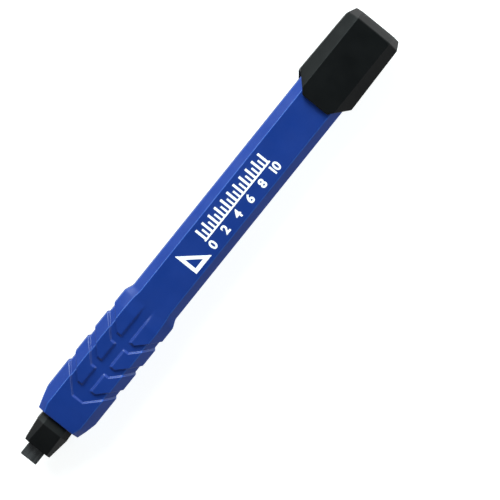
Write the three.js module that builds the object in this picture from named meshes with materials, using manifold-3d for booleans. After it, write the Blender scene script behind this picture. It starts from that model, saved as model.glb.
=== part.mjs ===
// A clutch carpenter's pencil. A flat notched lead is gripped by two jaws at the mouth of a faceted
// barrel. Pressing the cap pushes a spring-loaded plunger forward: the jaws leave the mouth and open,
// and the lead slides. Lengths are in millimetres. The pencil lies on its back, with +X towards the
// writing end, +Y across its width and +Z out of its front face. The origin is under the middle of
// the pencil, on the plane that it lies on. Inside the group every piece is placed from the lead's
// tip, on the pencil's centreline, so "back" is a distance behind that tip.

import * as THREE from "three";
import { mergeVertices } from "three/addons/utils/BufferGeometryUtils.js";
import Module from "manifold-3d";

const wasm = await Module();
wasm.setup();

// ---- Driving dimensions ----

const LENGTH = 144.8; // lead tip to cap end
const LEAD = { length: 100, halfWidth: 2.5, halfThickness: 1 };
const NOTCH = { first: 6, pitch: 4, width: 0.5, depth: 0.2 };
const PARTING = 0.12; // half the gap between the two closed jaws

// Faceted sections: half-width w, half-thickness t, half-width f of the flat front and back faces, and
// half-height h of the flat sides. Without an h, the faces between are 45 degree chamfers.
const BARREL = { w: 7, t: 5.2, f: 4.85, h: 3 };
const PAD = { w: 7.97, t: 5.6, f: 5.37, h: 3 };
const GROOVE = { w: 7.48, t: 5.1, f: 5.17, h: 2.8 };
const FLARE = { w: 7.97, t: 5.23, f: 5.2, h: 3 };
const TAPER = { w: 7.15, t: 5.5, f: 5.37 };
const MOUTH = { w: 6.46, t: 5.35, f: 4.65 };

const BARREL_BACK = 131.6;
const MOUTH_BACK = 12.6;
const FLARE_START = 52.35;
const FLARE_END = 50.1;
const PADS_START = 46.4;
const TAPER_START = 18;
const TAPER_MIDDLE = 15;

// Grip pads: V-shaped grooves on both faces, round both sides, and a spine groove down the middle.
const GROOVES = 3;
const GROOVE_PITCH = 8.05;
const FIRST_PAD_END = 40.6;
const SECOND_PAD_START = 37.7;
const WALL = 0.5; // a groove's sloping wall, measured along the pencil
const V_FLAT = 2.84; // half-width of the level stretch in the middle of each V
const SPINE_TOP = 1.65;
const SPINE_FLOOR = 1.13;

// Bores
const MOUTH_BORE = { w: 4.95, t: 4.2, f: 4 };
const MOUTH_LEAD_IN = 0.4;
const MOUTH_BORE_END = 17;
const MID_BORE = { w: 5.2, t: 3.8, f: 4.3 };
const REAR_BORE = { w: 5.7, t: 4.15, f: 4.5 };
const LEDGE_BACK = 109.6; // the spring's ledge, where the rear bore starts

// Jaws
const JAW_END = { back: 3.9, w: 4, top: 3.4, f: 3.1 };
const JAW_CREASE = { back: 10.1, w: 4.79, f: 2.85 };
const JAW_MOUTH = { w: 4.67, f: 2.9 };
const RAMP_SLOPE = 1 / 3;
const ARM = { w: 4.2, top: 2.9, f: 3.4, bottom: 1.35, end: 29.6 };
const LIP_END = 7;
// The ramps meet the bore where the mouth's lead-in ends, and rise towards the tip from there.
const RAMP_START = MOUTH_BACK + MOUTH_LEAD_IN;
const RAMP_START_TOP = MOUTH_BORE.t - 0.07;
const RAMP_FOOT = RAMP_START + (RAMP_START_TOP - ARM.top) / RAMP_SLOPE;
const PIVOT = { back: 31.6, z: 2.05, pinRadius: 0.4, eyeRadius: 0.95, halfWidth: 3.2 };
const LEAF = { root: 35.6, tip: 21.1, y: 2.95, halfWidth: 0.25, thickness: 0.22, halfRoot: 0.33 };
const FIT = 0.05; // running clearance round pins and round the lead

// Plunger
const BASE = { start: 33.6, end: 40.6, halfWidth: 4.3, halfThickness: 3.1, earStart: 30.2, earInner: 3.35 };
const TUBE = { start: 37.3, end: 105.6, halfWidth: 3.2, halfThickness: 1.7, wall: 0.5 };
const SOCKET_GAP = 0.05;
const ROD = { start: 103.1, shank: 107.6, end: 140.8, radius: 2, halfWidth: 3.7, halfThickness: 2.2 };
const RIVET = { radius: 0.5, inner: 2.75, backs: [38.9, 104.4], outers: [4.25, 3.65] };
const PLATE = { start: 109.65, end: 110.45 };
const SPRING = { start: 110.6, end: 125, radius: 2.75, wire: 0.35, turns: 8, deadTurns: 1 };
const COLLAR = { start: 125.1, end: 126.6, radius: 3.4 };
const CLIP = { start: 126.65, end: 127.15, radius: 3, grooveRadius: 1.6, mouth: 1.2 };
const BUSH = { start: 128.1, flange: 1.1, flangeGap: 0.05 };

// Cap
const CAP_END = { w: 7, t: 4.2, f: 5.25 };
const CAP_BACK = { w: 8.12, t: 6.3, f: 5.25 };
const CAP_SKIRT = { w: 8.53, t: 6.3, f: 5.25 };
const CAP_BEVEL_BACK = 142.5; // where the bevel round the end starts
const CAP_SHOULDER_BACK = 123.1; // where the skirt's slanting corners start
const CAP_SKIRT_BACK = 118.1;
const CAP_SKIRT_FLAT = 4.1; // half-width of the skirt's straight edge, between its slanting corners
const CAP_CAVITY = { w: 7.3, t: 5.45, f: 5 };
const CAP_CAVITY_END = 142.6;
const CORE = { w: 7.2, t: 5.35, f: 4.9 };
const CORE_START = 137.4;
const CORE_END = 142.5;
const CAP_PIN = { back: 139.4, radius: 0.6, halfLength: 6.6 };

// ---- Solids ----

// A closed three.js geometry as a manifold solid, with only its positions kept.
function solid(geometry) {
  const bare = geometry.clone();
  bare.deleteAttribute("normal");
  bare.deleteAttribute("uv");
  const merged = mergeVertices(bare, 1e-4);
  const vertProperties = new Float32Array(merged.attributes.position.array);
  const triVerts = new Uint32Array(merged.index.array);
  return new wasm.Manifold(new wasm.Mesh({ numProp: 3, vertProperties, triVerts }));
}

// A manifold solid back as a three.js geometry.
function geometry(made) {
  const mesh = made.getMesh();
  const positions = new Float32Array(mesh.numVert * 3);
  for (let i = 0; i < mesh.numVert; i++)
    positions.set(mesh.vertProperties.subarray(i * mesh.numProp, i * mesh.numProp + 3), i * 3);
  const made3 = new THREE.BufferGeometry();
  made3.setAttribute("position", new THREE.BufferAttribute(positions, 3));
  made3.setIndex(new THREE.BufferAttribute(new Uint32Array(mesh.triVerts), 1));
  made3.computeVertexNormals();
  return made3;
}

// A skin over rings of points, from the rear ring to the front one, each turning from +Y to +Z.
function skin(rings) {
  const count = rings[0].length;
  const positions = [];
  const index = [];
  rings.forEach((ring) => ring.forEach((p) => positions.push(p.x, p.y, p.z)));
  for (let r = 0; r + 1 < rings.length; r++)
    for (let i = 0; i < count; i++) {
      const [a, b] = [r * count + i, r * count + ((i + 1) % count)];
      index.push(a, b, b + count, a, b + count, a + count);
    }
  [0, rings.length - 1].forEach((r) => {
    const ring = rings[r];
    const middle = positions.length / 3;
    const centre = ring.reduce((sum, p) => sum.add(p), new THREE.Vector3()).divideScalar(count);
    positions.push(centre.x, centre.y, centre.z);
    for (let i = 0; i < count; i++) {
      const [a, b] = [r * count + i, r * count + ((i + 1) % count)];
      if (r) index.push(middle, a, b);
      else index.push(middle, b, a);
    }
  });
  const made = new THREE.BufferGeometry();
  made.setAttribute("position", new THREE.Float32BufferAttribute(positions, 3));
  made.setIndex(index);
  return made;
}

const sideHeight = ({ w, t, f, h }) => h ?? t + f - w;

// The eight corners of a faceted section at a distance back from the tip.
function octagon(section, back) {
  const { w, t, f } = section;
  const h = sideHeight(section);
  const corners = [
    [w, -h],
    [w, h],
    [f, t],
    [-f, t],
    [-w, h],
    [-w, -h],
    [-f, -t],
    [f, -t],
  ];
  return corners.map(([y, z]) => new THREE.Vector3(-back, y, z));
}

const facetedBar = (section, near, far) => solid(skin([octagon(section, far), octagon(section, near)]));

// A box between two distances back and two heights, as wide each side of y as halfWidth.
function block(near, far, halfWidth, bottom, top, y = 0) {
  const box = new THREE.BoxGeometry(far - near, 2 * halfWidth, top - bottom);
  return solid(box.translate(-(near + far) / 2, y, (bottom + top) / 2));
}

const roundBar = (radius, near, far, sides = 32) =>
  solid(
    new THREE.CylinderGeometry(radius, radius, far - near, sides)
      .rotateZ(Math.PI / 2)
      .translate(-(near + far) / 2, 0, 0),
  );

// A pin across the pencil.
const crossBar = (radius, back, z, from, to, sides = 20) =>
  solid(new THREE.CylinderGeometry(radius, radius, to - from, sides).translate(-back, (from + to) / 2, z));

// An outline of [back, y] points, extruded through the thickness.
function frontPrism(points, halfThickness) {
  const shape = new THREE.Shape(points.map(([back, y]) => new THREE.Vector2(-back, y)));
  const made = new THREE.ExtrudeGeometry(shape, { depth: 2 * halfThickness, bevelEnabled: false });
  return solid(made.translate(0, 0, -halfThickness));
}

// An outline of [back, z] points, extruded from one y to another.
function sidePrism(points, from, to) {
  const shape = new THREE.Shape(points.map(([back, z]) => new THREE.Vector2(-back, z)));
  const made = new THREE.ExtrudeGeometry(shape, { depth: to - from, bevelEnabled: false });
  return solid(made.rotateX(Math.PI / 2).translate(0, to, 0));
}

// ---- Barrel ----

// One row of the barrel's skin. In the grip a row's points move back with their distance from the
// middle, which makes the V; pads and groove floors share the same V. spine is the spine's height.
function barrelRow({ back, outer, spine, flat }) {
  const h = sideHeight(outer);
  const point = (y, z, padY) => {
    const slant = flat === undefined ? 0 : Math.max(0, Math.abs(padY) - flat);
    return new THREE.Vector3(-back - slant, y, z);
  };
  const face = [
    [outer.f, outer.t, PAD.f],
    [V_FLAT, outer.t, V_FLAT],
    [SPINE_TOP, outer.t, SPINE_TOP],
    [SPINE_FLOOR, spine, SPINE_FLOOR],
  ];
  const quarter = (signY, signZ) => face.map(([y, z, padY]) => point(signY * y, signZ * z, padY));
  return [
    point(outer.w, -h, PAD.w),
    point(outer.w, h, PAD.w),
    ...quarter(1, 1),
    ...quarter(-1, 1).reverse(),
    point(-outer.w, h, PAD.w),
    point(-outer.w, -h, PAD.w),
    ...quarter(-1, -1),
    ...quarter(1, -1).reverse(),
  ];
}

function barrelRows() {
  const rows = [
    { back: BARREL_BACK, outer: BARREL, spine: BARREL.t },
    { back: FLARE_START, outer: BARREL, spine: BARREL.t },
    { back: FLARE_END, outer: FLARE, spine: BARREL.t },
    { back: PADS_START, outer: PAD, spine: GROOVE.t },
  ];
  for (let k = 0; k < GROOVES; k++) {
    const padEnd = FIRST_PAD_END - k * GROOVE_PITCH;
    const padStart = SECOND_PAD_START - k * GROOVE_PITCH;
    rows.push({ back: padEnd, outer: PAD, spine: GROOVE.t, flat: V_FLAT });
    rows.push({ back: padEnd - WALL, outer: GROOVE, spine: GROOVE.t, flat: V_FLAT });
    // The last V runs on to the spine's edges, and the spine ends there.
    const last = k === GROOVES - 1;
    const flat = last ? SPINE_TOP : V_FLAT;
    const start = padStart - (V_FLAT - flat);
    rows.push({ back: start + WALL, outer: GROOVE, spine: GROOVE.t, flat });
    rows.push({ back: start, outer: PAD, spine: last ? PAD.t : GROOVE.t, flat });
  }
  rows.push({ back: TAPER_START, outer: PAD, spine: PAD.t });
  rows.push({ back: TAPER_MIDDLE, outer: TAPER, spine: TAPER.t });
  rows.push({ back: MOUTH_BACK, outer: MOUTH, spine: MOUTH.t });
  return rows.map(barrelRow);
}

const grown = ({ w, t, f }, gap) => ({ w: w + gap, t: t + gap, f: f + gap });

function barrel() {
  const funnel = [
    octagon(MOUTH_BORE, RAMP_START),
    octagon(grown(MOUTH_BORE, 2 * MOUTH_LEAD_IN), MOUTH_BACK - MOUTH_LEAD_IN),
  ];
  return solid(skin(barrelRows()))
    .subtract(facetedBar(MOUTH_BORE, MOUTH_BACK - 1, MOUTH_BORE_END))
    .subtract(solid(skin(funnel)))
    .subtract(facetedBar(MID_BORE, MOUTH_BORE_END - 1, LEDGE_BACK + 1))
    .subtract(facetedBar(REAR_BORE, LEDGE_BACK, BARREL_BACK + 1));
}

function rearBush() {
  const flange = { w: REAR_BORE.w + 0.6, t: REAR_BORE.t + 0.5, f: REAR_BORE.f };
  const flangeStart = BARREL_BACK + BUSH.flangeGap;
  return facetedBar(grown(REAR_BORE, -0.1), BUSH.start, flangeStart + 0.5)
    .add(facetedBar(flange, flangeStart, flangeStart + BUSH.flange))
    .subtract(roundBar(ROD.radius + 2 * FIT, BUSH.start - 1, flangeStart + BUSH.flange + 1));
}

const springPlate = () =>
  facetedBar(grown(REAR_BORE, -0.15), PLATE.start, PLATE.end).subtract(
    roundBar(ROD.radius + 0.25, PLATE.start - 1, PLATE.end + 1),
  );

// ---- Clutch ----

const rampTop = (back) => RAMP_START_TOP + (RAMP_START - back) * RAMP_SLOPE;

// One ring of a jaw, from the parting plane up: half-width w, flat half-width f and height top.
function jawRing(back, { w, f }, top) {
  const side = top - (w - f);
  const corners = [
    [w, PARTING],
    [w, side],
    [f, top],
    [-f, top],
    [-w, side],
    [-w, PARTING],
  ];
  return corners.map(([y, z]) => new THREE.Vector3(-back, y, z));
}

function jaw() {
  const head = solid(
    skin([
      jawRing(RAMP_FOOT, ARM, ARM.top),
      jawRing(MOUTH_BACK, JAW_MOUTH, rampTop(MOUTH_BACK)),
      jawRing(JAW_CREASE.back, JAW_CREASE, rampTop(JAW_CREASE.back)),
      jawRing(JAW_END.back, JAW_END, JAW_END.top),
    ]),
  );
  const arm = block(RAMP_FOOT, ARM.end, ARM.w, ARM.bottom, ARM.top);
  const tail = block(ARM.end - 1, PIVOT.back, PIVOT.halfWidth, ARM.bottom, ARM.top);
  const eye = crossBar(PIVOT.eyeRadius, PIVOT.back, PIVOT.z, -PIVOT.halfWidth, PIVOT.halfWidth, 28);
  const channel = leadSlot(JAW_END.back - 1, RAMP_FOOT + 1, FIT);
  const relief = leadSlot(LIP_END, RAMP_FOOT + 1, 0.2);
  return head
    .add(arm)
    .add(tail)
    .add(eye)
    .subtract(channel)
    .subtract(relief)
    .subtract(crossBar(PIVOT.pinRadius + FIT, PIVOT.back, PIVOT.z, -5, 5));
}

const pivotPin = () =>
  crossBar(PIVOT.pinRadius, PIVOT.back, PIVOT.z, -BASE.halfWidth + FIT, BASE.halfWidth - FIT);

// A slot that the lead passes through, with a gap all round it.
const leadSlot = (near, far, gap) =>
  block(near, far, LEAD.halfWidth + gap, -LEAD.halfThickness - gap, LEAD.halfThickness + gap);

function clutchBase() {
  const { start, end, halfWidth, halfThickness, earStart, earInner } = BASE;
  const passage = leadSlot(start - 1, end, 0.15);
  const earHalf = (halfWidth - earInner) / 2;
  const earTop = PIVOT.z + PIVOT.eyeRadius;
  let made = block(start, end, halfWidth, -halfThickness, halfThickness);
  [-1, 1].forEach((side) => {
    const earY = side * (earInner + earHalf);
    const leafHalf = LEAF.halfWidth + 0.08;
    const leafTop = LEAF.halfRoot + 0.09;
    made = made
      .add(block(earStart, start + 0.5, earHalf, -earTop, earTop, earY))
      .subtract(block(start - 1, LEAF.root + 0.1, leafHalf, -leafTop, leafTop, side * LEAF.y));
  });
  [-1, 1].forEach((face) => {
    made = made.subtract(crossBar(PIVOT.pinRadius + FIT, PIVOT.back, face * PIVOT.z, -5, 5));
  });
  return made
    .subtract(passage)
    .subtract(tubeSocket(TUBE.start - SOCKET_GAP, end + 1))
    .subtract(rivetHoles(RIVET.backs[0]));
}

// A two-legged leaf spring beside the lead, which pushes the jaws apart.
function leafSpring(side) {
  const { root, tip, halfRoot, thickness, halfWidth, y } = LEAF;
  const tipTop = ARM.bottom - 0.06;
  const outline = [
    [root, halfRoot],
    [BASE.start, halfRoot],
    [tip, tipTop],
    [tip, tipTop - thickness],
    [BASE.start - 1, halfRoot - thickness],
  ];
  const mirrored = outline.map(([back, z]) => [back, -z]).reverse();
  return sidePrism([...outline, ...mirrored], side * y - halfWidth, side * y + halfWidth);
}

// ---- Plunger ----

const tubeSocket = (near, far) =>
  block(
    near,
    far,
    TUBE.halfWidth + SOCKET_GAP,
    -TUBE.halfThickness - SOCKET_GAP,
    TUBE.halfThickness + SOCKET_GAP,
  );

const rivetHoles = (back) =>
  crossBar(RIVET.radius + FIT, back, 0, RIVET.inner - 0.5, 5).add(
    crossBar(RIVET.radius + FIT, back, 0, -5, -RIVET.inner + 0.5),
  );

function rivet(back, outer, side) {
  const [from, to] = side > 0 ? [RIVET.inner, outer] : [-outer, -RIVET.inner];
  return crossBar(RIVET.radius, back, 0, from, to);
}

function leadTube() {
  const inner = [TUBE.halfWidth - TUBE.wall, TUBE.halfThickness - TUBE.wall];
  return block(TUBE.start, TUBE.end, TUBE.halfWidth, -TUBE.halfThickness, TUBE.halfThickness)
    .subtract(block(TUBE.start - 1, TUBE.end + 1, inner[0], -inner[1], inner[1]))
    .subtract(rivetHoles(RIVET.backs[0]))
    .subtract(rivetHoles(RIVET.backs[1]));
}

function plungerRod() {
  const clipGroove = roundBar(5, CLIP.start - FIT, CLIP.end + FIT).subtract(
    roundBar(CLIP.grooveRadius, CLIP.start - 1, CLIP.end + 1),
  );
  return block(ROD.start, ROD.shank, ROD.halfWidth, -ROD.halfThickness, ROD.halfThickness)
    .subtract(tubeSocket(ROD.start - 1, TUBE.end + SOCKET_GAP))
    .subtract(rivetHoles(RIVET.backs[1]))
    .add(roundBar(ROD.radius, ROD.shank - 0.5, ROD.end))
    .subtract(clipGroove)
    .subtract(crossBar(CAP_PIN.radius + FIT, CAP_PIN.back, 0, -5, 5));
}

// The return spring's centreline: the end turns lie close, the others are evenly spread.
class Coil extends THREE.Curve {
  getPoint(t, target = new THREE.Vector3()) {
    const { start, end, radius, wire, turns, deadTurns } = SPRING;
    const turn = t * turns;
    const closePitch = 2 * wire + 0.05;
    const free = end - start - 2 * wire - 2 * deadTurns * closePitch;
    const openPitch = free / (turns - 2 * deadTurns);
    const open = Math.min(Math.max(turn - deadTurns, 0), turns - 2 * deadTurns);
    const along = wire + open * openPitch + (turn - open) * closePitch;
    const angle = 2 * Math.PI * turn;
    return target.set(-start - along, radius * Math.cos(angle), radius * Math.sin(angle));
  }
}

function returnSpring() {
  const wire = new THREE.Shape().absarc(0, 0, SPRING.wire, 0, 2 * Math.PI);
  const steps = SPRING.turns * 14;
  const options = { steps, curveSegments: 4, extrudePath: new Coil(), bevelEnabled: false };
  return solid(new THREE.ExtrudeGeometry(wire, options));
}

const springCollar = () =>
  roundBar(COLLAR.radius, COLLAR.start, COLLAR.end).subtract(
    roundBar(ROD.radius + FIT, COLLAR.start - 1, COLLAR.end + 1),
  );

// An open ring that snaps into the rod's groove from one side.
const collarClip = () =>
  roundBar(CLIP.radius, CLIP.start, CLIP.end)
    .subtract(roundBar(CLIP.grooveRadius + FIT, CLIP.start - 1, CLIP.end + 1))
    .subtract(block(CLIP.start - 1, CLIP.end + 1, CLIP.mouth, -5, 0));

// ---- Cap ----

function pushCap() {
  const shell = solid(
    skin([
      octagon(CAP_END, LENGTH),
      octagon(CAP_BACK, CAP_BEVEL_BACK),
      octagon(CAP_SKIRT, CAP_SHOULDER_BACK),
      octagon(CAP_SKIRT, CAP_SKIRT_BACK),
    ]),
  );
  const outline = [
    [LENGTH + 1, 10],
    [CAP_SHOULDER_BACK, 10],
    [CAP_SHOULDER_BACK, CAP_SKIRT.w],
    [CAP_SKIRT_BACK, CAP_SKIRT_FLAT],
  ];
  const mirrored = outline.map(([back, y]) => [back, -y]).reverse();
  return shell
    .intersect(frontPrism([...outline, ...mirrored], 10))
    .subtract(facetedBar(CAP_CAVITY, CAP_SKIRT_BACK - 1, CAP_CAVITY_END));
}

const capCore = () =>
  facetedBar(CORE, CORE_START, CORE_END)
    .subtract(roundBar(ROD.radius + FIT, CORE_START - 1, ROD.end + 0.1))
    .subtract(crossBar(CAP_PIN.radius + FIT, CAP_PIN.back, 0, -10, 10));

const capPin = () => crossBar(CAP_PIN.radius, CAP_PIN.back, 0, -CAP_PIN.halfLength, CAP_PIN.halfLength);

// ---- Lead ----

// The lead's side outline has a shallow notch across both wide faces at every pitch.
function lead() {
  const { length, halfWidth, halfThickness } = LEAD;
  const top = [[0, halfThickness]];
  for (let back = NOTCH.first; back < length - NOTCH.width; back += NOTCH.pitch) {
    top.push([back - NOTCH.width / 2, halfThickness]);
    top.push([back, halfThickness - NOTCH.depth]);
    top.push([back + NOTCH.width / 2, halfThickness]);
  }
  top.push([length, halfThickness]);
  const bottom = top.map(([back, z]) => [back, -z]).reverse();
  return sidePrism([...top, ...bottom], -halfWidth, halfWidth);
}

// ---- Materials ----

const material = (color, roughness, metalness = 0) =>
  new THREE.MeshStandardMaterial({ color, roughness, metalness });

const BLUE = material(0x1d3f96, 0.55);
const BLACK = material(0x1c1d1f, 0.5);
const NATURAL = material(0xd8d6cc, 0.45);
const GRAPHITE = material(0x333435, 0.6);
const STEEL = material(0xb9bcc0, 0.3, 1);
const BRASS = material(0xc0a050, 0.35, 1);
const ALUMINIUM = material(0xc9ccd0, 0.35, 1);

// ---- Assembly ----

const pencil = new THREE.Group();

function place(name, made, finish, turned = false) {
  const mesh = new THREE.Mesh(geometry(made), finish);
  mesh.name = name;
  if (turned) mesh.rotation.x = Math.PI;
  pencil.add(mesh);
}

place("barrel", barrel(), BLUE);
place("rear_bush", rearBush(), BLACK);
place("spring_plate", springPlate(), STEEL);
place("front_jaw", jaw(), BLACK);
place("rear_jaw", jaw(), BLACK, true);
place("front_pivot_pin", pivotPin(), STEEL);
place("rear_pivot_pin", pivotPin(), STEEL, true);
place("clutch_base", clutchBase(), BLACK);
place("jaw_spring_left", leafSpring(-1), STEEL);
place("jaw_spring_right", leafSpring(1), STEEL);
place("lead_tube", leadTube(), ALUMINIUM);
["clutch", "rod"].forEach((end, i) => {
  place(end + "_rivet_left", rivet(RIVET.backs[i], RIVET.outers[i], -1), STEEL);
  place(end + "_rivet_right", rivet(RIVET.backs[i], RIVET.outers[i], 1), STEEL);
});
place("plunger_rod", plungerRod(), NATURAL);
place("return_spring", returnSpring(), STEEL);
place("spring_collar", springCollar(), BRASS);
place("collar_clip", collarClip(), STEEL);
place("push_cap", pushCap(), BLACK);
place("cap_core", capCore(), BLACK);
place("cap_pin", capPin(), STEEL);
place("lead", lead(), GRAPHITE);

pencil.position.set(LENGTH / 2, 0, CAP_SKIRT.t);

export default pencil;
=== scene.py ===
"""A clutch carpenter's pencil: the looks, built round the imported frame.

The pencil lies on its back with +X towards the writing tip. Inside this script a place is given in
millimetres: back is the distance behind the lead's tip, y the distance from the pencil's centreline
and z the height over its middle plane. at() turns these into the frame's metres.
"""

import bisect
import math
from collections import namedtuple

import bmesh
import bpy
from mathutils import Matrix, Vector


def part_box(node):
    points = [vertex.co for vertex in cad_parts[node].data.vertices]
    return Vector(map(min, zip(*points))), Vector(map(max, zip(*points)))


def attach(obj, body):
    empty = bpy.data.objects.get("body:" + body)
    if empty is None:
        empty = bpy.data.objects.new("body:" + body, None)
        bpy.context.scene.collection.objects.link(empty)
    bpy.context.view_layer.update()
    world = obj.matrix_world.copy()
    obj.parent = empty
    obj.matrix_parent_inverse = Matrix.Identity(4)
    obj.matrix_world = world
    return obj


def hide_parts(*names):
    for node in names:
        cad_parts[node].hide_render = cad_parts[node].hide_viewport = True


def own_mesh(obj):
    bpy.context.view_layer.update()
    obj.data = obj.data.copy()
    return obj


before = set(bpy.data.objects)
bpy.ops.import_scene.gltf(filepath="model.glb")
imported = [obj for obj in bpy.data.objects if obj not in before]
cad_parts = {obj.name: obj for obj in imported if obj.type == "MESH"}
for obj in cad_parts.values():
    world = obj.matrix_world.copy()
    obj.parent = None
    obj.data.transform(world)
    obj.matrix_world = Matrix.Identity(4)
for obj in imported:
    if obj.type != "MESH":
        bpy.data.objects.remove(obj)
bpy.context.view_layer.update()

MM = 0.001
TIP_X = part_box("lead")[1].x
MIDDLE_Z = (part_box("barrel")[0].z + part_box("barrel")[1].z) / 2


def at(back, y, z):
    """A point behind the tip, beside the centreline and over the middle plane, in the frame."""
    return Vector((TIP_X - back * MM, y * MM, MIDDLE_Z + z * MM))


def back_of(x):
    """How far behind the tip a frame x lies, in millimetres."""
    return (TIP_X - x) / MM


def node_span(name):
    """A CAD node's nearest and farthest distance behind the tip."""
    low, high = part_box(name)
    return back_of(high.x), back_of(low.x)


# ---- Sections ----
#
# Every outer shape is a loft of eight-sided sections: half-width w, half-thickness t, half-width f of
# the flat front and back faces, and half-height h of the flat sides. A chamfer joins face and side.

Section = namedtuple("Section", "w t f h")

BARREL = Section(7, 5.2, 4.85, 3)
FLARE = Section(7.97, 5.23, 5.2, 3)
PAD = Section(7.97, 5.6, 5.37, 3)
GROOVE = Section(7.48, 5.1, 5.17, 2.8)
TAPER = Section(7.15, 5.5, 5.37, 3.72)
MOUTH = Section(6.46, 5.35, 4.65, 3.54)

# Half-widths on the front face: the straight middle of each V groove, and the spine groove's floor
# and top.
V_FLAT = 2.84
LAST_V_FLAT = 1.65
SPINE_FLOOR = 1.13
SPINE_TOP = 1.65
SPINE_BLUR = 0.08
SPINE_STEPS = 6

# Corners turn into curves where values are averaged over these parts of a blur's half-width.
BLUR_OFFSETS = (-1.0, -0.6, -0.2, 0.2, 0.6, 1.0)


def chamfer_tilt(section):
    """The angle from the face's normal to the chamfer's normal."""
    return math.atan2(section.t - section.h, section.w - section.f)


def inset(section, depth):
    """The section with every face moved in by depth."""
    tilt = chamfer_tilt(section)
    face_cut = depth * math.tan(tilt / 2)
    side_cut = depth * math.tan((math.pi / 2 - tilt) / 2)
    return Section(section.w - depth, section.t - depth, section.f - face_cut, section.h - side_cut)


def mix(a, b, k):
    return a + (b - a) * k


def mix_section(a, b, k):
    return Section(*(mix(p, q, k) for p, q in zip(a, b)))


def whole_ring(quarter):
    """A ring's values, in the ring's order, from those of its upper right quarter."""
    half = quarter + quarter[-2::-1]
    return half + half[-2:0:-1]


class Outline:
    """The columns of a section's quarter, from the side's middle to the face's middle.

    A column keeps its place on its face while the section changes size, so that lofted columns run
    along the pencil. faces are the places along the flat face, measured on the widest section.
    """

    def __init__(self, widest, radius, faces, side_steps=2, arc_steps=4, chamfer_steps=3):
        self.radius = radius
        self.face_edge = widest.f - radius * math.tan(chamfer_tilt(widest) / 2)
        arc = [k / arc_steps for k in range(arc_steps + 1)]
        self.columns = [("side", k / side_steps) for k in range(side_steps)]
        self.columns += [("lower", k) for k in arc]
        self.columns += [("chamfer", k / chamfer_steps) for k in range(1, chamfer_steps)]
        self.columns += [("upper", k) for k in arc]
        self.columns += [("face", y) for y in sorted(faces, reverse=True)]
        self.widest = [self.point(c, widest)[0] for c in self.columns]

    def point(self, column, section, radius=None):
        """The (y, z) of one column on a section."""
        zone, value = column
        r = self.radius if radius is None else radius
        tilt = chamfer_tilt(section)
        rest = math.pi / 2 - tilt
        upper = Vector((section.f - r * math.tan(tilt / 2), section.t - r))
        lower = Vector((section.w - r, section.h - r * math.tan(rest / 2)))
        if zone == "side":
            return section.w, value * lower.y
        if zone == "face":
            beyond = max(0.0, value - V_FLAT)
            stretch = (upper.x - V_FLAT) / (self.face_edge - V_FLAT)
            return min(value, V_FLAT) + beyond * stretch, section.t
        if zone == "chamfer":
            out = Vector((math.sin(tilt), math.cos(tilt))) * r
            p = (lower + out).lerp(upper + out, value)
            return p.x, p.y
        centre, angle = upper, tilt * (1 - value)
        if zone == "lower":
            centre, angle = lower, math.pi / 2 - rest * value
        return centre.x + r * math.sin(angle), centre.y + r * math.cos(angle)

    def ring(self, back, section, slant=0.0, flat=V_FLAT, radius=None, spine_t=None):
        """A closed ring of points. slant is how far the V's sides trail behind its middle."""
        quarter = []
        for column, wide_y in zip(self.columns, self.widest):
            y, z = self.point(column, section, radius)
            trail = slant * max(0.0, wide_y - flat)
            if spine_t is not None and column[0] == "face":
                z = mix(z, spine_t, spine_depth(wide_y))
            quarter.append((back + trail, y, z))
        ring = whole_ring(quarter)
        count = len(quarter)
        signs = [(1, 1)] * count + [(-1, 1)] * (count - 1)
        signs += [(-1, -1)] * (count - 2) + [(1, -1)] * (count - 1)
        return [at(b, sy * y, sz * z) for (b, y, z), (sy, sz) in zip(ring, signs)]

    def edge_wear_and_highlight(self):
        """For each point of a ring, how near it is to the middle of a rounded edge, from 0 to 1: where
        the material paints wear and a painted highlight.
        """
        rounded = ("lower", "upper")
        wear_and_highlight = [1 - abs(2 * value - 1) if zone in rounded else 0.0 for zone, value in self.columns]
        return whole_ring(wear_and_highlight)


def spine_depth(y):
    """How deep the spine groove is at a distance from the middle, from 0 to 1, on a blurred wall."""
    places = [y + k * SPINE_BLUR for k in BLUR_OFFSETS]
    slope = SPINE_TOP - SPINE_FLOOR
    return sum(min(1.0, max(0.0, (SPINE_TOP - p) / slope)) for p in places) / len(places)


# ---- Meshes ----

AREA_WEIGHT = 60
SHARP_EDGE = 50


def mesh_object(name, verts, faces):
    mesh = bpy.data.meshes.new(name)
    mesh.from_pydata([tuple(v) for v in verts], [], faces)
    made = bpy.data.objects.new(name, mesh)
    bpy.context.scene.collection.objects.link(made)
    work = bmesh.new()
    work.from_mesh(mesh)
    bmesh.ops.recalc_face_normals(work, faces=work.faces)
    work.to_mesh(mesh)
    work.free()
    return made


def loft(name, rings, closed=False, wear_and_highlight=None):
    """A skin over rings. A closed one runs back to its first ring, and an open one is capped.

    The last argument gives how near each point of a ring is to a rounded edge, kept on the mesh for its
    material, which paints these edges lighter as wear and as a painted highlight.
    """
    count = len(rings[0])
    verts = [p for ring in rings for p in ring]
    faces = []
    last = len(rings) if closed else len(rings) - 1
    for r in range(last):
        here, there = r * count, (r + 1) % len(rings) * count
        for i in range(count):
            j = (i + 1) % count
            faces.append((here + i, here + j, there + j, there + i))
    if not closed:
        faces.append(tuple(range(count)))
        faces.append(tuple(range(len(verts) - count, len(verts))))
    made = mesh_object(name, verts, faces)
    if wear_and_highlight:
        # A mask of rounded edges, which the material paints lighter: partly wear, partly painted
        # highlight.
        kept = made.data.attributes.new("edge_wear_and_highlight", "FLOAT", "POINT")
        kept.data.foreach_set("value", wear_and_highlight * len(rings))
    return made


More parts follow.
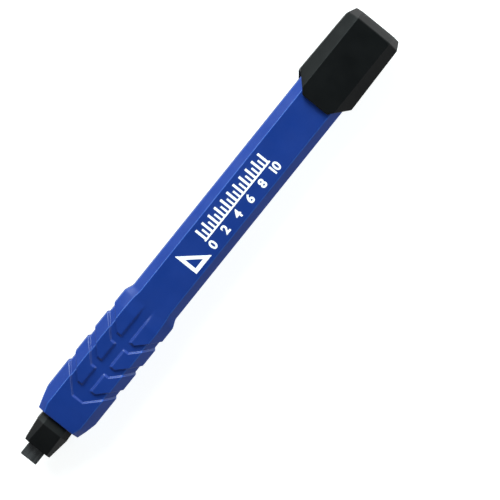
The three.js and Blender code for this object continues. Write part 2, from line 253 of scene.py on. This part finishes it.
def shade_smooth(piece, keep_sharp):
    """Smooth shading, with flat faces kept flat by weighting each corner's normal by area."""
    for polygon in piece.data.polygons:
        polygon.use_smooth = True
    weighted = piece.modifiers.new("weighted_normals", "WEIGHTED_NORMAL")
    weighted.keep_sharp = keep_sharp
    weighted.weight = AREA_WEIGHT


def smooth(piece):
    """Smooth shading for a skin, apart from its sharp edges."""
    piece.data.set_sharp_from_angle(angle=math.radians(SHARP_EDGE))
    shade_smooth(piece, True)


def fillet_rows(back, section, radius, direction, steps=4, **ring):
    """Rows round an edge, from the wall to the end face. direction is +1 where the end faces back."""
    rows = []
    for k in range(steps + 1):
        angle = math.radians(90 * k / steps)
        shift = direction * radius * (1 - math.sin(angle))
        cut = radius * (1 - math.cos(angle))
        rows.append(dict(back=back - shift, section=inset(section, cut), **ring))
    return rows


# ---- Barrel ----

FLARE_START = 52.35
FLARE_END = 50.1
PADS_START = 46.4
TAPER_START = 18
TAPER_MIDDLE = 15
WALL = 0.5
GROOVES = 3
GROOVE_PITCH = 8.05
FIRST_PAD_END = 40.6
SECOND_PAD_START = 37.7
BARREL_EDGE = 0.5
BARREL_END_EDGE = 0.4
MOUTH_EDGE = 0.2
BODY_ROW_STEP = 4.0
GRIP_ROW_STEP = 0.6

MOUTH_BORE = Section(4.95, 4.2, 4, 3.25)
MOUTH_BORE_END = 17
MOUTH_LEAD_IN = 0.4
MID_BORE = Section(5.2, 3.8, 4.3, 2.9)
REAR_BORE = Section(5.7, 4.15, 4.5, 2.95)
BORE_RADIUS = 0.12
BORE_STEP = 0.01
REAR_LEAD_IN = 0.25
LEDGE_GAP = 0.05

# What each row of the barrel's skin says: where it is, its section, the spine's floor, and its V.
Knot = namedtuple("Knot", "back w t f h spine slant flat blur")


def knot(back, section, spine, slant=0.0, flat=V_FLAT, blur=0.1):
    return Knot(back, *section, spine, slant, flat, blur)


def barrel_knots(back_end, mouth):
    knots = [
        knot(back_end, BARREL, BARREL.t),
        knot(FLARE_START, BARREL, BARREL.t, blur=0.35),
        knot(FLARE_END, FLARE, BARREL.t, blur=0.35),
        knot(PADS_START, PAD, GROOVE.t, blur=0.4),
    ]
    for k in range(GROOVES):
        last = k == GROOVES - 1
        end = FIRST_PAD_END - k * GROOVE_PITCH
        flat = LAST_V_FLAT if last else V_FLAT
        start = SECOND_PAD_START - k * GROOVE_PITCH - (V_FLAT - flat)
        knots += [
            knot(end, PAD, GROOVE.t, 1),
            knot(end - WALL, GROOVE, GROOVE.t, 1),
            knot(start + WALL, GROOVE, GROOVE.t, 1, flat),
            knot(start, PAD, PAD.t if last else GROOVE.t, 1, flat),
        ]
    knots += [
        knot(TAPER_START, PAD, PAD.t, blur=0.3),
        knot(TAPER_MIDDLE, TAPER, TAPER.t, blur=0.3),
        knot(mouth, MOUTH, MOUTH.t),
    ]
    return knots


def row_places(knots, step):
    """Where rows go: close together round each knot, and at most a step apart between them."""
    places = {knots[0].back, knots[-1].back}
    for k in knots[1:-1]:
        places.update(k.back + k.blur * n / 2 for n in range(-3, 4))
    ordered = sorted(places, reverse=True)
    for rear, front in zip(ordered, ordered[1:]):
        parts = math.ceil((rear - front) / step(front))
        places.update(mix(rear, front, n / parts) for n in range(1, parts))
    return sorted(places, reverse=True)


def between(knots, back):
    """The knots' values at a place, linear between them."""
    backs = [-k.back for k in knots]
    i = min(max(bisect.bisect_right(backs, -back), 1), len(knots) - 1)
    a, b = knots[i - 1], knots[i]
    k = min(1.0, max(0.0, (a.back - back) / (a.back - b.back)))
    return [mix(p, q, k) for p, q in zip(a, b)]


def knot_row(knots, back):
    """The row at a place, with the knots' corners blurred into curves."""
    nearest = min(knots, key=lambda k: abs(k.back - back))
    inside = min(nearest.blur, knots[0].back - back, back - knots[-1].back)
    samples = [between(knots, back + k * max(inside, 0.0)) for k in BLUR_OFFSETS]
    _, w, t, f, h, spine, slant, flat, _ = [sum(v) / len(v) for v in zip(*samples)]
    return dict(back=back, section=Section(w, t, f, h), spine_t=spine, slant=slant, flat=flat)


def bore_rows(mouth, ledge, back_end):
    """The inside of the barrel, from the mouth's lead-in to the rear rim."""
    places = [
        (mouth, inset(MOUTH_BORE, -MOUTH_LEAD_IN)),
        (mouth + MOUTH_LEAD_IN, MOUTH_BORE),
        (MOUTH_BORE_END, MOUTH_BORE),
        (MOUTH_BORE_END + BORE_STEP, MID_BORE),
        (ledge, MID_BORE),
        (ledge + BORE_STEP, REAR_BORE),
        (back_end - REAR_LEAD_IN, REAR_BORE),
        (back_end, inset(REAR_BORE, -REAR_LEAD_IN)),
    ]
    return [dict(back=back, section=section, radius=BORE_RADIUS) for back, section in places]


def barrel_step(back):
    """The longest step between rows: long on the straight part and short on the grip."""
    return BODY_ROW_STEP if back > FLARE_START + 1 else GRIP_ROW_STEP


def build_barrel():
    mouth, back_end = node_span("barrel")
    ledge = node_span("spring_plate")[0] - LEDGE_GAP
    wall = SPINE_TOP - SPINE_FLOOR
    spine = [SPINE_FLOOR + k * wall / SPINE_STEPS for k in range(-1, SPINE_STEPS + 2)]
    faces = [0, 0.5, 0.85, *spine, 2.2, 2.6, V_FLAT - 0.08, V_FLAT, V_FLAT + 0.08, 3.4, 4.0, 4.6]
    outline = Outline(PAD, BARREL_EDGE, faces)
    knots = barrel_knots(back_end - BARREL_END_EDGE, mouth + MOUTH_EDGE)
    rows = [knot_row(knots, back) for back in row_places(knots, barrel_step)]
    rows += fillet_rows(mouth, MOUTH, MOUTH_EDGE, -1)[1:]
    rows += bore_rows(mouth, ledge, back_end)
    rows += list(reversed(fillet_rows(back_end, BARREL, BARREL_END_EDGE, 1)))[:-1]
    rings = [outline.ring(**row) for row in rows]
    made = loft("barrel_shell", rings, closed=True, wear_and_highlight=outline.edge_wear_and_highlight())
    smooth(made)
    return made


# ---- Cap ----

CAP_END = Section(7, 4.2, 5.25, 2.45)
CAP_BACK = Section(8.12, 6.3, 5.25, 3.43)
CAP_SKIRT = Section(8.53, 6.3, 5.25, 3.02)
CAP_CAVITY = Section(7.3, 5.45, 5, 3.15)
CAP_FLAT = 4.1
CAP_BEVEL = 2.3
CAP_SHOULDER = 5.0
CAP_STRAIGHT_FROM = CAP_SHOULDER + 1.2
CAP_EDGE = 0.16
CAP_END_PATCH = 2.4
CAP_ROW_STEP = 1.2
CAVITY_GAP = 0.1
CAVITY_EDGE = 0.2


def build_cap():
    skirt, end = node_span("push_cap")
    cavity_end = node_span("cap_core")[1] + CAVITY_GAP
    faces = [0, 0.9, 1.8, 2.7, 3.4, CAP_FLAT - 0.1, CAP_FLAT, CAP_FLAT + 0.1, 4.6]
    outline = Outline(CAP_SKIRT, CAP_EDGE, faces)
    straight = skirt + CAP_STRAIGHT_FROM
    slant = CAP_SHOULDER / (CAP_SKIRT.w - CAP_FLAT)
    bevel_start = mix_section(CAP_END, CAP_BACK, CAP_EDGE / CAP_BEVEL)
    knots = [
        knot(end - CAP_EDGE, bevel_start, CAP_END.t),
        knot(end - CAP_BEVEL, CAP_BACK, CAP_BACK.t, blur=CAP_EDGE),
        knot(straight, CAP_SKIRT, CAP_SKIRT.t),
        knot(skirt + CAP_EDGE, CAP_SKIRT, CAP_SKIRT.t, slant, CAP_FLAT),
    ]
    rows = [
        dict(back=end, section=inset(CAP_END, CAP_END_PATCH)),
        dict(back=end, section=inset(CAP_END, CAP_EDGE)),
        dict(back=end - CAP_EDGE * 0.25, section=inset(CAP_END, CAP_EDGE * 0.3)),
    ]
    for back in row_places(knots, lambda back: CAP_ROW_STEP):
        row = knot_row(knots, back)
        row.update(flat=CAP_FLAT, spine_t=None)
        rows.append(row)
    vee = dict(slant=slant, flat=CAP_FLAT)
    rows += fillet_rows(skirt, CAP_SKIRT, CAP_EDGE, -1, **vee)[1:]
    rows += [
        dict(back=skirt, section=inset(CAP_CAVITY, -CAVITY_EDGE), **vee),
        dict(back=skirt + CAVITY_EDGE, section=CAP_CAVITY, **vee),
        dict(back=straight, section=CAP_CAVITY),
        dict(back=cavity_end - CAVITY_EDGE, section=CAP_CAVITY),
        dict(back=cavity_end, section=inset(CAP_CAVITY, CAVITY_EDGE)),
    ]
    made = loft("cap_shell", [outline.ring(**row) for row in rows], wear_and_highlight=outline.edge_wear_and_highlight())
    smooth(made)
    return made


# ---- Lead ----

LEAD = Section(2.5, 1.0, 2.44, 0.94)
NOTCH_FIRST = 6
NOTCH_PITCH = 4
NOTCH_HALF = 0.25
NOTCH_DEPTH = 0.2
LEAD_EDGE = 0.1

# How deep a notch is at each distance from its middle.
NOTCH = ((0.05, NOTCH_DEPTH - 0.01), (NOTCH_HALF, 0.02), (NOTCH_HALF + 0.06, 0.0))

# How deep the wide faces are worn at each distance from an end. The narrow sides lose a part of that.
WORN_TIP = ((0, 0.2), (0.02, 0.12), (0.08, 0.05), (0.18, 0.01), (0.3, 0.0))
WORN_END = ((0.1, 0.0), (0.03, 0.03), (0, 0.1))
SIDE_WEAR = 0.9


def build_lead():
    """A flat bar with scored notches across both wide faces and a worn writing end."""
    near, far = node_span("lead")
    rings = [lead_ring(near + along, depth, depth * SIDE_WEAR) for along, depth in WORN_TIP]
    back = near + NOTCH_FIRST
    while back < far - NOTCH_HALF:
        for side in (-1, 1):
            rings += [lead_ring(back + side * shift, depth, 0.0) for shift, depth in NOTCH[::side]]
        back += NOTCH_PITCH
    rings += [lead_ring(far - along, depth, depth * SIDE_WEAR) for along, depth in WORN_END]
    made = loft("lead_bar", rings)
    smooth(made)
    return made


def lead_ring(back, depth, side):
    """A rounded rectangle, cut in by depth on its wide faces and by side on its narrow ones."""
    w, t, r = LEAD.w - side, LEAD.t - depth, LEAD_EDGE
    corners = []
    for sign_y, sign_z, start in ((1, 1, 0), (-1, 1, 90), (-1, -1, 180), (1, -1, 270)):
        for k in range(4):
            angle = math.radians(start + 30 * k)
            y = sign_y * (w - r) + r * math.cos(angle)
            z = sign_z * (t - r) + r * math.sin(angle)
            corners.append(at(back, y, z))
    ring = []
    for i in range(0, len(corners), 4):
        start, end = corners[i + 3], corners[(i + 4) % len(corners)]
        steps = 6 if i % 8 == 0 else 2
        ring += corners[i:i + 4] + [start.lerp(end, k / steps) for k in range(1, steps)]
    return ring


# ---- Return spring ----

WIRE = 0.35
WIRE_GAP = 0.05
TURNS = 8
DEAD_TURNS = 1


def build_spring():
    """The wire, wound with its end turns close and its others evenly spread."""
    start, end = node_span("return_spring")
    low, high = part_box("return_spring")
    radius = (high.y - low.y) / MM / 2 - WIRE
    close = 2 * WIRE + WIRE_GAP
    live_turns = TURNS - 2 * DEAD_TURNS
    pitch = (end - start - 2 * WIRE - 2 * DEAD_TURNS * close) / live_turns
    steps, sides = 40, 12
    rings = []
    for n in range(TURNS * steps + 1):
        turn = n / steps
        spread = min(max(turn - DEAD_TURNS, 0), live_turns)
        along = start + WIRE + spread * pitch + (turn - spread) * close
        angle = 2 * math.pi * turn
        ring = []
        for k in range(sides):
            a = 2 * math.pi * k / sides
            r = radius + WIRE * math.cos(a)
            ring.append(at(along + WIRE * math.sin(a), math.cos(angle) * r, math.sin(angle) * r))
        rings.append(ring)
    made = loft("spring_wire", rings)
    smooth(made)
    return made


# ---- Print ----

INK = 0.03
PRINT_LIFT = 0.004
SCALE_START = 73.6
TENTH = 2.54
SCALE_TENTHS = 10
SCALE_LINE = (0.35, -0.12)
SCALE_MARGIN = 0.6
DIGIT_HEIGHT = 2.5
DIGIT_PART_OF_FONT = 0.73
DIGIT_BOLDNESS = 0.11
DIGIT_BASE = 3.45

# How far across the barrel a mark of the scale reaches, and half its width.
TENTH_MARK = (-3.5, 0.33)
TWENTIETH_MARK = (-2.35, 0.27)

SET_SQUARE_OUTER = ((65.0, 3.7), (71.3, 3.7), (65.0, -3.5))
SET_SQUARE_INNER = ((66.0, 2.6), (69.1, 2.6), (66.0, -0.9))


def decal(work, points):
    """A flat printed shape on the front face, from an outline of (back, y) points."""
    top = BARREL.t + PRINT_LIFT
    low = [work.verts.new(at(b, y, top)) for b, y in points]
    high = [work.verts.new(at(b, y, top + INK)) for b, y in points]
    work.faces.new(high)
    work.faces.new(list(reversed(low)))
    for i in range(len(points)):
        j = (i + 1) % len(points)
        work.faces.new((low[i], low[j], high[j], high[i]))


def print_scale(work):
    """A comb of tenths and twentieths of an inch that stand on one line."""
    line_low, line_high = SCALE_LINE
    start = SCALE_START - SCALE_MARGIN
    end = SCALE_START + SCALE_TENTHS * TENTH + SCALE_MARGIN
    points = [(start, line_low), (end, line_low), (end, line_high)]
    for n in range(2 * SCALE_TENTHS, -1, -1):
        back = SCALE_START + n * TENTH / 2
        tip, half = TENTH_MARK if n % 2 == 0 else TWENTIETH_MARK
        points += [(back + half, line_high), (back + half, tip)]
        points += [(back - half, tip), (back - half, line_high)]
    points.append((start, line_high))
    decal(work, points)


def print_number(work, number, back, base_y):
    """A number that reads towards the cap, centred at back and standing on base_y."""
    curve = bpy.data.curves.new("number", "FONT")
    curve.body = str(number)
    curve.align_x = "CENTER"
    curve.size = DIGIT_HEIGHT / DIGIT_PART_OF_FONT * MM
    curve.offset = DIGIT_BOLDNESS * MM
    curve.extrude = INK / 2 * MM
    curve.space_character = 0.85
    text = bpy.data.objects.new("number", curve)
    place = at(back, base_y, BARREL.t + PRINT_LIFT + INK / 2)
    text.matrix_world = Matrix.Translation(place) @ Matrix.Rotation(math.pi, 4, "Z")
    bpy.context.scene.collection.objects.link(text)
    shapes = bpy.context.evaluated_depsgraph_get()
    mesh = bpy.data.meshes.new_from_object(text.evaluated_get(shapes))
    mesh.transform(text.matrix_world)
    work.from_mesh(mesh)
    bpy.data.objects.remove(text)
    bpy.data.curves.remove(curve)
    bpy.data.meshes.remove(mesh)


def print_set_square(work):
    """A drawing triangle with a triangular hole, as one ribbon that closes on itself."""
    outer, inner = SET_SQUARE_OUTER, SET_SQUARE_INNER
    for i in range(3):
        j = (i + 1) % 3
        decal(work, [outer[i], outer[j], inner[j], inner[i]])


def build_print():
    """A scale of tenths of an inch and a set square, in white ink."""
    work = bmesh.new()
    print_scale(work)
    print_set_square(work)
    for n in range(0, SCALE_TENTHS + 1, 2):
        print_number(work, n, SCALE_START + n * TENTH, DIGIT_BASE)
    bmesh.ops.remove_doubles(work, verts=work.verts, dist=1e-6)
    bmesh.ops.recalc_face_normals(work, faces=work.faces)
    mesh = bpy.data.meshes.new("barrel_print")
    work.to_mesh(mesh)
    work.free()
    made = bpy.data.objects.new("barrel_print", mesh)
    bpy.context.scene.collection.objects.link(made)
    return made


# ---- Materials ----


class Shader:
    """A material whose nodes are added and joined by name."""

    def __init__(self, name, roughness, metallic=0.0):
        self.material = bpy.data.materials.new(name)
        self.material.use_nodes = True
        self.tree = self.material.node_tree
        self.body = self.tree.nodes["Principled BSDF"]
        self.body.inputs["Roughness"].default_value = roughness
        self.body.inputs["Metallic"].default_value = metallic
        coordinates = self.tree.nodes.new("ShaderNodeTexCoord")
        self.place = coordinates.outputs["Object"]

    def join(self, output, node, socket):
        self.tree.links.new(output, node.inputs[socket])

    def stretched(self, scale):
        """Object coordinates scaled along each axis."""
        mapping = self.tree.nodes.new("ShaderNodeMapping")
        mapping.inputs["Scale"].default_value = scale
        self.join(self.place, mapping, "Vector")
        return mapping.outputs["Vector"]

    def noise(self, size_mm, detail=2.0, stretch=(1, 1, 1)):
        """Noise with features about size_mm across, from 0 to 1."""
        node = self.tree.nodes.new("ShaderNodeTexNoise")
        node.inputs["Scale"].default_value = 1 / (size_mm * MM)
        node.inputs["Detail"].default_value = detail
        self.join(self.stretched(stretch), node, "Vector")
        return node.outputs["Fac"]

    def spread(self, fac, low, high, start=0.3, end=0.7):
        """fac from start to end turned into low to high."""
        node = self.tree.nodes.new("ShaderNodeMapRange")
        values = {"From Min": start, "From Max": end, "To Min": low, "To Max": high}
        for socket, value in values.items():
            node.inputs[socket].default_value = value
        self.join(fac, node, "Value")
        return node.outputs["Result"]

    def blend(self, fac, first, second):
        """A colour between two, each a colour or an output."""
        node = self.tree.nodes.new("ShaderNodeMix")
        node.data_type = "RGBA"
        self.join(fac, node, "Factor")
        for socket, value in ((6, first), (7, second)):
            if isinstance(value, tuple):
                node.inputs[socket].default_value = (*value, 1)
            else:
                self.tree.links.new(value, node.inputs[socket])
        return node.outputs[2]

    def less(self, output, taken):
        """The first value minus the second."""
        node = self.tree.nodes.new("ShaderNodeMath")
        node.operation = "SUBTRACT"
        self.tree.links.new(output, node.inputs[0])
        self.tree.links.new(taken, node.inputs[1])
        return node.outputs["Value"]

    def bump(self, height, distance_mm, under=None):
        """A normal from a height, over another bump's normal where one is given."""
        node = self.tree.nodes.new("ShaderNodeBump")
        node.inputs["Strength"].default_value = 1.0
        node.inputs["Distance"].default_value = distance_mm * MM
        self.join(height, node, "Height")
        if under:
            self.join(under, node, "Normal")
        return node.outputs["Normal"]

    def attribute(self, name):
        """A value kept on the mesh, which is 0 where there is none."""
        node = self.tree.nodes.new("ShaderNodeAttribute")
        node.attribute_name = name
        return node.outputs["Fac"]

    def colour(self, output):
        self.join(output, self.body, "Base Color")

    def rough(self, output):
        self.join(output, self.body, "Roughness")

    def normal(self, output):
        self.join(output, self.body, "Normal")


def linear(red, green, blue):
    """An sRGB colour, given from 0 to 255, as linear values."""
    parts = (c / 255 for c in (red, green, blue))
    return tuple(c / 12.92 if c <= 0.04045 else ((c + 0.055) / 1.055) ** 2.4 for c in parts)


def moulded(name, dark, light, rubbed_and_highlight, roughness, grain_mm, depth_mm, specular=0.5):
    """Moulded plastic: a fine grain, faint clouds of colour, uneven gloss, and rounded edges painted
    lighter, partly as rubbed wear and partly as a painted highlight.
    """
    s = Shader(name, roughness)
    s.body.inputs["Specular IOR Level"].default_value = specular
    clouds = s.noise(9, detail=3)
    specks = s.noise(grain_mm * 2.5, detail=2)
    base = s.blend(s.spread(clouds, 0, 1), dark, light)
    base = s.blend(s.spread(specks, 0, 0.35), base, light)
    # Rounded edges take the lighter edge colour: partly rubbed wear, partly a painted highlight of
    # light caught along the edges.
    wear_and_highlight_mask = s.attribute("edge_wear_and_highlight")
    s.colour(s.blend(s.spread(wear_and_highlight_mask, 0, 0.6, 0, 1), base, rubbed_and_highlight))
    gloss = s.spread(s.noise(5, detail=4), roughness - 0.05, roughness + 0.06)
    s.rough(s.less(gloss, s.spread(wear_and_highlight_mask, 0, 0.12, 0, 1)))
    s.normal(s.bump(s.noise(grain_mm, detail=1), depth_mm))
    return s.material


def graphite():
    s = Shader("graphite", 0.42, metallic=0.35)
    streaks = s.noise(0.5, detail=4, stretch=(0.04, 1, 1))
    specks = s.noise(0.12, detail=2)
    base = s.blend(s.spread(streaks, 0, 1), linear(55, 55, 57), linear(84, 83, 86))
    s.colour(s.blend(s.spread(specks, 0, 1, 0.62, 0.75), base, linear(134, 136, 140)))
    s.rough(s.spread(streaks, 0.36, 0.55))
    ridges = s.bump(streaks, 0.02)
    s.normal(s.bump(specks, 0.01, under=ridges))
    return s.material


def brushed(name, dark, light, roughness, stretch):
    """Metal with fine tool marks along one way and a little staining."""
    s = Shader(name, roughness, metallic=1.0)
    marks = s.noise(0.12, detail=3, stretch=stretch)
    stains = s.noise(3, detail=3)
    s.colour(s.blend(s.spread(stains, 0, 1), dark, light))
    s.rough(s.spread(marks, roughness - 0.07, roughness + 0.1))
    s.normal(s.bump(marks, 0.004))
    return s.material


def ink():
    """Pad-printed ink: slightly thin in places, so that a little of the barrel shows."""
    s = Shader("white_ink", 0.5)
    thin = s.noise(0.35, detail=3)
    s.colour(s.blend(s.spread(thin, 0, 1, 0.55, 0.8), linear(252, 252, 253), linear(214, 222, 240)))
    s.normal(s.bump(s.noise(0.15, detail=2), 0.006))
    return s.material


def paint(piece, material):
    piece.data.materials.clear()
    piece.data.materials.append(material)


# ---- Stage ----

FLOOR_GLOW = 0.76
LIGHT_COLOUR = (0.86, 1.0, 0.98)
LIGHT_DISTANCE = 0.7
LIGHT_TARGET = Vector((0, 0, 0.006))

# The tent's brightness from the horizon up to overhead, and from the tip's side round to the cap's.
TENT_HEIGHTS = ((0.0, 1.1), (0.12, 0.9), (0.27, 0.3), (0.6, 0.14), (1.0, 0.05))
TENT_SIDES = ((0.0, 0.7), (0.28, 0.3), (0.42, 0.26), (0.58, 0.1), (1.0, 1.3))
TENT_STRENGTH = 2.3
TOWARDS_CAP = Vector((-1, -0.12, 0))


def build_floor():
    """White acrylic lit a little from below, as a light table is, so that shadows on it stay pale."""
    half = 3.0
    corners = [(-half, -half, 0), (half, -half, 0), (half, half, 0), (-half, half, 0)]
    floor = mesh_object("floor", corners, [(0, 1, 2, 3)])
    s = Shader("pale_acrylic", 0.9)
    s.body.inputs["Specular IOR Level"].default_value = 0.1
    s.body.inputs["Emission Color"].default_value = (1, 1, 1, 1)
    s.body.inputs["Emission Strength"].default_value = FLOOR_GLOW
    s.colour(s.blend(s.noise(40, detail=2), linear(186, 186, 187), linear(192, 192, 193)))
    paint(floor, s.material)
    floor.visible_glossy = False


def soft_light(name, turn, height, size, power):
    """A soft box aimed at the pencil.

    turn is degrees round from the cap's end towards -Y, and height is degrees up.
    """
    a, e = math.radians(turn), math.radians(height)
    outward = Vector((-math.cos(a) * math.cos(e), -math.sin(a) * math.cos(e), math.sin(e)))
    position = LIGHT_DISTANCE * outward
    data = bpy.data.lights.new(name, "AREA")
    data.shape = "RECTANGLE"
    data.size, data.size_y = size
    data.energy = power
    data.color = LIGHT_COLOUR
    light = bpy.data.objects.new(name, data)
    light.location = position
    light.rotation_mode = "QUATERNION"
    light.rotation_quaternion = (LIGHT_TARGET - position).to_track_quat("-Z", "Y")
    bpy.context.scene.collection.objects.link(light)


def set_ramp(node, stops):
    """Grey values along a colour ramp, each a (place, value)."""
    elements = node.color_ramp.elements
    while len(elements) < len(stops):
        elements.new(0.5)
    for element, (place, value) in zip(elements, stops):
        element.position = place
        element.color = (value, value, value, 1)


def build_world():
    """A light tent: dark overhead, where the camera looks in, and brightest low behind the cap."""
    world = bpy.data.worlds.new("tent")
    world.use_nodes = True
    tree = world.node_tree
    nodes, links = tree.nodes, tree.links
    coordinates = nodes.new("ShaderNodeTexCoord")
    split = nodes.new("ShaderNodeSeparateXYZ")
    links.new(coordinates.outputs["Generated"], split.inputs[0])
    heights = nodes.new("ShaderNodeValToRGB")
    links.new(split.outputs["Z"], heights.inputs["Fac"])
    set_ramp(heights, TENT_HEIGHTS)
    towards = nodes.new("ShaderNodeVectorMath")
    towards.operation = "DOT_PRODUCT"
    towards.inputs[1].default_value = TOWARDS_CAP / 2
    links.new(coordinates.outputs["Generated"], towards.inputs[0])
    from_zero = nodes.new("ShaderNodeMath")
    from_zero.operation = "ADD"
    from_zero.inputs[1].default_value = 0.5
    links.new(towards.outputs["Value"], from_zero.inputs[0])
    sides = nodes.new("ShaderNodeValToRGB")
    links.new(from_zero.outputs["Value"], sides.inputs["Fac"])
    set_ramp(sides, TENT_SIDES)
    strength = nodes.new("ShaderNodeMath")
    strength.operation = "MULTIPLY"
    strength.inputs[1].default_value = TENT_STRENGTH
    links.new(sides.outputs["Color"], strength.inputs[0])
    links.new(heights.outputs["Color"], nodes["Background"].inputs["Color"])
    links.new(strength.outputs["Value"], nodes["Background"].inputs["Strength"])
    bpy.context.scene.world = world


def build_camera():
    """Straight above, a little to the pencil's left, with the tip at the bottom left of the picture."""
    picture_up = Vector((-0.7784, -0.6278, 0))
    target = at(78.5, 10.6, BARREL.t)
    distance = 0.590
    lean = 0.071
    location = target + distance * Vector((0, -lean, 1)).normalized()
    forward = (target - location).normalized()
    up = (picture_up - picture_up.dot(forward) * forward).normalized()
    right = forward.cross(up)
    data = bpy.data.cameras.new("camera")
    data.sensor_width = 36
    data.lens = 164.4
    camera = bpy.data.objects.new("camera", data)
    camera.matrix_world = Matrix((
        (right.x, up.x, -forward.x, location.x),
        (right.y, up.y, -forward.y, location.y),
        (right.z, up.z, -forward.z, location.z),
        (0, 0, 0, 1),
    ))
    bpy.context.scene.collection.objects.link(camera)
    bpy.context.scene.camera = camera


# ---- Assembly ----

# Degrees between two faces: up to the first they are one flat face, and from the second their edge is
# rounded.
ONE_FLAT_FACE = 0.5
ROUNDED_EDGE = 17


def soften(name, width_mm, material):
    """A CAD node that stays: its own mesh, with its edges rounded by modifiers and a finish."""
    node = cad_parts[name]
    weld = node.modifiers.new("weld", "WELD")
    weld.merge_threshold = 1e-6
    flat = node.modifiers.new("whole_flat_faces", "DECIMATE")
    flat.decimate_type = "DISSOLVE"
    flat.angle_limit = math.radians(ONE_FLAT_FACE)
    bevel = node.modifiers.new("rounded_edges", "BEVEL")
    bevel.width = width_mm * MM
    bevel.segments = 3
    bevel.limit_method = "ANGLE"
    bevel.angle_limit = math.radians(ROUNDED_EDGE)
    shade_smooth(node, False)
    paint(node, material)


# The third colour of each plastic goes on its rounded edges: rubbed wear together with a painted
# highlight.
blue = moulded("barrel_plastic", linear(18, 46, 116), linear(23, 51, 124), linear(52, 96, 180),
               0.34, 0.16, 0.006, specular=0.27)
black = moulded("cap_plastic", linear(11, 12, 13), linear(15, 16, 17), linear(24, 26, 28),
                0.33, 0.2, 0.01, specular=0.15)
nylon = moulded("clutch_plastic", linear(13, 14, 15), linear(18, 19, 20), linear(26, 28, 30),
                0.36, 0.14, 0.008, specular=0.22)
acetal = moulded("rod_plastic", linear(208, 205, 194), linear(222, 220, 211), linear(232, 231, 225),
                 0.4, 0.3, 0.006)
steel = brushed("steel", linear(176, 178, 182), linear(196, 198, 202), 0.28, (1, 0.1, 1))
spring_steel = brushed("spring_steel", linear(140, 141, 145), linear(165, 166, 170), 0.32, (1, 1, 0.15))
aluminium = brushed("aluminium", linear(200, 202, 206), linear(216, 218, 221), 0.34, (0.06, 1, 1))
brass = brushed("brass", linear(190, 154, 82), linear(206, 172, 98), 0.3, (1, 0.15, 0.15))

barrel_shell = build_barrel()
paint(barrel_shell, blue)
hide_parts("barrel")
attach(barrel_shell, "barrel")

barrel_print = build_print()
paint(barrel_print, ink())
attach(barrel_print, "barrel")

spring_wire = build_spring()
paint(spring_wire, spring_steel)
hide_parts("return_spring")
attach(spring_wire, "barrel")
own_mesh(spring_wire)

cap_shell = build_cap()
paint(cap_shell, black)
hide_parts("push_cap")
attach(cap_shell, "plunger")

lead_bar = build_lead()
paint(lead_bar, graphite())
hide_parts("lead")
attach(lead_bar, "lead")

for name in ("front_jaw", "rear_jaw"):
    soften(name, 0.16, nylon)
for name in ("clutch_base", "rear_bush", "cap_core"):
    soften(name, 0.12, nylon)
soften("plunger_rod", 0.15, acetal)
soften("lead_tube", 0.08, aluminium)
soften("spring_collar", 0.12, brass)
for name in ("spring_plate", "front_pivot_pin", "rear_pivot_pin", "cap_pin", "clutch_rivet_left",
             "clutch_rivet_right", "rod_rivet_left", "rod_rivet_right"):
    soften(name, 0.06, steel)
for name in ("jaw_spring_left", "jaw_spring_right", "collar_clip"):
    soften(name, 0.03, spring_steel)

build_floor()
build_world()
soft_light("left_box", 56, 21, size=(0.4, 0.25), power=7.6)
soft_light("left_panel", 75, 43, size=(0.6, 0.28), power=3.5)
soft_light("right_box", -40, 30, size=(0.7, 0.5), power=3.6)
build_camera()
bpy.context.scene.view_settings.view_transform = "Standard"
